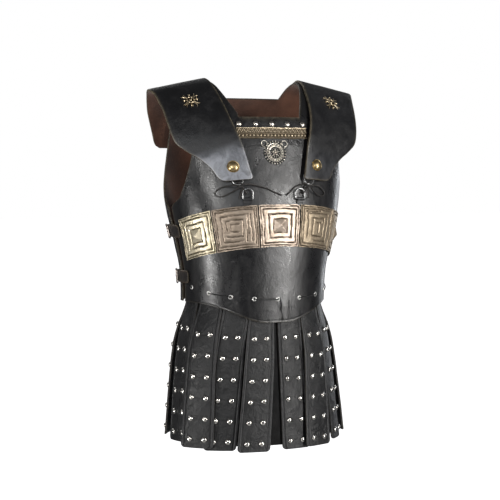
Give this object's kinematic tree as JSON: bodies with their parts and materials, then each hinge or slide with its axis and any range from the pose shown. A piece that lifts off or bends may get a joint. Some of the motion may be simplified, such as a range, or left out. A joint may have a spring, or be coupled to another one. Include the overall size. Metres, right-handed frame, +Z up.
{
  "type": "leather cuirass",
  "caption": "Worn leather cuirass with arched shoulder guards, a belt of cast bronze plates and a skirt of hanging studded strips.",
  "frame": {"origin": "midway between the two shoulder straps, at the height where they rest on the shoulders", "axes": "+Z up, the front faces -Y, the wearer's left is +X"},
  "size_m": [0.46, 0.2641, 0.7622],
  "materials": {
    "plate_leather": "waxed and worn, satin",
    "guard_leather": "waxed and scuffed, satin",
    "skirt_leather": "grained, satin",
    "strap_leather": "waxed, satin",
    "thong_leather": "dull",
    "belt_bronze": "aged bronze, satin with dark hollows",
    "trim_bronze": "aged, satin",
    "star_silver": "old silver, worn",
    "roundel_silver": "old silver, worn",
    "stud_nickel": "polished nickel",
    "ring_nickel": "nickel, worn",
    "rivet_brass": "polished, worn",
    "buckle_metal": "nickel, worn"
  },
  "bodies": {
    "root": {"backplate": "plate_leather", "belt_plate_1": "belt_bronze", "belt_plate_2": "belt_bronze", "belt_plate_3": "belt_bronze", "belt_plate_4": "belt_bronze", "belt_plate_5": "belt_bronze", "breastplate": "plate_leather", "chest_ring_left": "ring_nickel", "chest_ring_right": "ring_nickel", "chest_ring_tab_left": "strap_leather", "chest_ring_tab_right": "strap_leather", "chest_roundel": "roundel_silver", "guard_ring_left": "ring_nickel", "guard_ring_right": "ring_nickel", "guard_ring_tab_left": "strap_leather", "guard_ring_tab_right": "strap_leather", "guard_rivet_left": "rivet_brass", "guard_rivet_right": "rivet_brass", "guard_star_left": "star_silver", "guard_star_right": "star_silver", "neck_stud_1": "stud_nickel", "neck_stud_2": "stud_nickel", "neck_stud_3": "stud_nickel", "neck_stud_4": "stud_nickel", "neck_stud_5": "stud_nickel", "neck_trim": "trim_bronze", "shoulder_guard_left": "guard_leather", "shoulder_guard_right": "guard_leather", "side_buckle_lower_left": "buckle_metal", "side_buckle_lower_right": "buckle_metal", "side_buckle_upper_left": "buckle_metal", "side_buckle_upper_right": "buckle_metal", "side_strap_lower_left": "strap_leather", "side_strap_lower_right": "strap_leather", "side_strap_upper_left": "strap_leather", "side_strap_upper_right": "strap_leather", "skirt_strip_01": "skirt_leather", "skirt_strip_02": "skirt_leather", "skirt_strip_03": "skirt_leather", "skirt_strip_04": "skirt_leather", "skirt_strip_05": "skirt_leather", "skirt_strip_06": "skirt_leather", "skirt_strip_07": "skirt_leather", "skirt_strip_08": "skirt_leather", "skirt_strip_09": "skirt_leather", "skirt_strip_10": "skirt_leather", "skirt_strip_11": "skirt_leather", "skirt_strip_12": "skirt_leather", "skirt_strip_13": "skirt_leather", "skirt_strip_14": "skirt_leather", "skirt_strip_15": "skirt_leather", "skirt_strip_16": "skirt_leather", "tie_thong_left": "thong_leather", "tie_thong_right": "thong_leather", "under_skirt_back": "skirt_leather", "under_skirt_front": "skirt_leather", "waist_lace": "thong_leather"}
  },
  "joints": []
}
